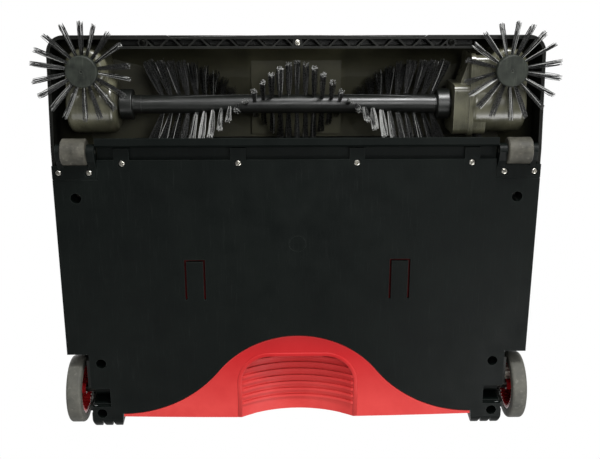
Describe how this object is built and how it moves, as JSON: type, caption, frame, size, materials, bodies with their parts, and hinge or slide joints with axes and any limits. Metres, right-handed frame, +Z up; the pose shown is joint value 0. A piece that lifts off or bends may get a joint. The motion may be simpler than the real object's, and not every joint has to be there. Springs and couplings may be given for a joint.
{
  "type": "carpet sweeper",
  "caption": "Manual carpet sweeper with a belt-driven roller brush, two corner brushes, rear wheels, front rollers, a slide-out red dust bin and a tilting handle socket.",
  "frame": {"origin": "on the floor under the middle of the sweeper's outline", "axes": "+X to the right of the person pushing it, +Y forwards, +Z up"},
  "size_m": [0.3858, 0.3325, 0.1175],
  "materials": {
    "black_plastic": "satin",
    "red_plastic": "gloss",
    "grey_rubber": "matte",
    "pod_grey": "semi-gloss",
    "bristle": "satin",
    "steel": "bright zinc",
    "white_nylon": "satin",
    "belt_rubber": "matte",
    "cap_grey": "matte"
  },
  "bodies": {
    "chassis": {"base_plate": "black_plastic", "bracket_screws": "steel", "chassis_screws": "steel", "drive_belt": "belt_rubber", "handle_pivot_pin": "steel", "hood": "black_plastic", "left_axle_bracket": "black_plastic", "left_brush_bushes": "white_nylon", "left_gear_pod_case": "pod_grey", "left_gear_pod_cover": "pod_grey", "left_roller_bracket": "black_plastic", "left_roller_pin": "steel", "left_spindle_bushes": "white_nylon", "left_wheel_axle": "steel", "lip_screws": "steel", "right_axle_bracket": "black_plastic", "right_brush_bushes": "white_nylon", "right_gear_pod_case": "pod_grey", "right_gear_pod_cover": "pod_grey", "right_roller_bracket": "black_plastic", "right_roller_pin": "steel", "right_spindle_bushes": "white_nylon", "right_wheel_axle": "steel", "rim_screws": "steel", "sweep_lip": "black_plastic"},
    "dust_bin": {"dust_bin": "red_plastic"},
    "brush": {"brush_core": "black_plastic", "brush_bristles": "bristle", "brush_pulley": "white_nylon", "right_shaft_gear": "white_nylon", "left_shaft_gear": "white_nylon"},
    "pinion": {"drive_pinion": "white_nylon", "pinion_shaft": "steel", "pinion_pulley": "white_nylon"},
    "handle": {"handle_fork": "black_plastic"},
    "right_corner_brush": {"right_corner_gear": "white_nylon", "right_corner_spindle": "black_plastic", "right_corner_bristles": "bristle", "right_corner_cap": "cap_grey"},
    "right_wheel": {"right_wheel_rim": "red_plastic", "right_wheel_tyre": "grey_rubber"},
    "right_roller": {"right_front_roller": "grey_rubber"},
    "left_corner_brush": {"left_corner_gear": "white_nylon", "left_corner_spindle": "black_plastic", "left_corner_bristles": "bristle", "left_corner_cap": "cap_grey"},
    "left_wheel": {"left_wheel_rim": "red_plastic", "left_wheel_tyre": "grey_rubber"},
    "left_roller": {"left_front_roller": "grey_rubber"}
  },
  "joints": [
    {"name": "brush_spin", "type": "hinge", "parent": "chassis", "child": "brush", "pos_m": [0, 0.1008, 0.0345], "axis": [1, 0, 0], "continuous": true},
    {"name": "pinion_spin", "type": "hinge", "parent": "chassis", "child": "pinion", "pos_m": [-0.1398, -0.129, 0.03779], "axis": [1, 0, 0], "continuous": true},
    {"name": "right_corner_spin", "type": "hinge", "parent": "chassis", "child": "right_corner_brush", "pos_m": [0.156, 0.1292, 0.01], "axis": [0, 0, 1], "continuous": true},
    {"name": "right_wheel_spin", "type": "hinge", "parent": "chassis", "child": "right_wheel", "pos_m": [0.1805, -0.135, 0.0274], "axis": [1, 0, 0], "continuous": true},
    {"name": "right_roller_spin", "type": "hinge", "parent": "chassis", "child": "right_roller", "pos_m": [0.1665, 0.0692, 0.01], "axis": [1, 0, 0], "continuous": true},
    {"name": "left_corner_spin", "type": "hinge", "parent": "chassis", "child": "left_corner_brush", "pos_m": [-0.156, 0.1292, 0.01], "axis": [0, 0, 1], "continuous": true},
    {"name": "left_wheel_spin", "type": "hinge", "parent": "chassis", "child": "left_wheel", "pos_m": [-0.1805, -0.135, 0.0274], "axis": [1, 0, 0], "continuous": true},
    {"name": "left_roller_spin", "type": "hinge", "parent": "chassis", "child": "left_roller", "pos_m": [-0.1665, 0.0692, 0.01], "axis": [1, 0, 0], "continuous": true},
    {"name": "bin_slide", "type": "slide", "parent": "chassis", "child": "dust_bin", "axis": [0, -1, 0], "range_m": [0, 0.24]},
    {"name": "handle_tilt", "type": "hinge", "parent": "chassis", "child": "handle", "pos_m": [0, -0.0158, 0.09], "axis": [-1, 0, 0], "range_deg": [0, 84]}
  ],
  "couplings": [
    {"joint": "pinion_spin", "follows": "brush_spin", "ratio": 1},
    {"joint": "right_corner_spin", "follows": "brush_spin", "ratio": -1},
    {"joint": "left_corner_spin", "follows": "brush_spin", "ratio": 1},
    {"joint": "left_wheel_spin", "follows": "brush_spin", "ratio": 0.33333}
  ]
}
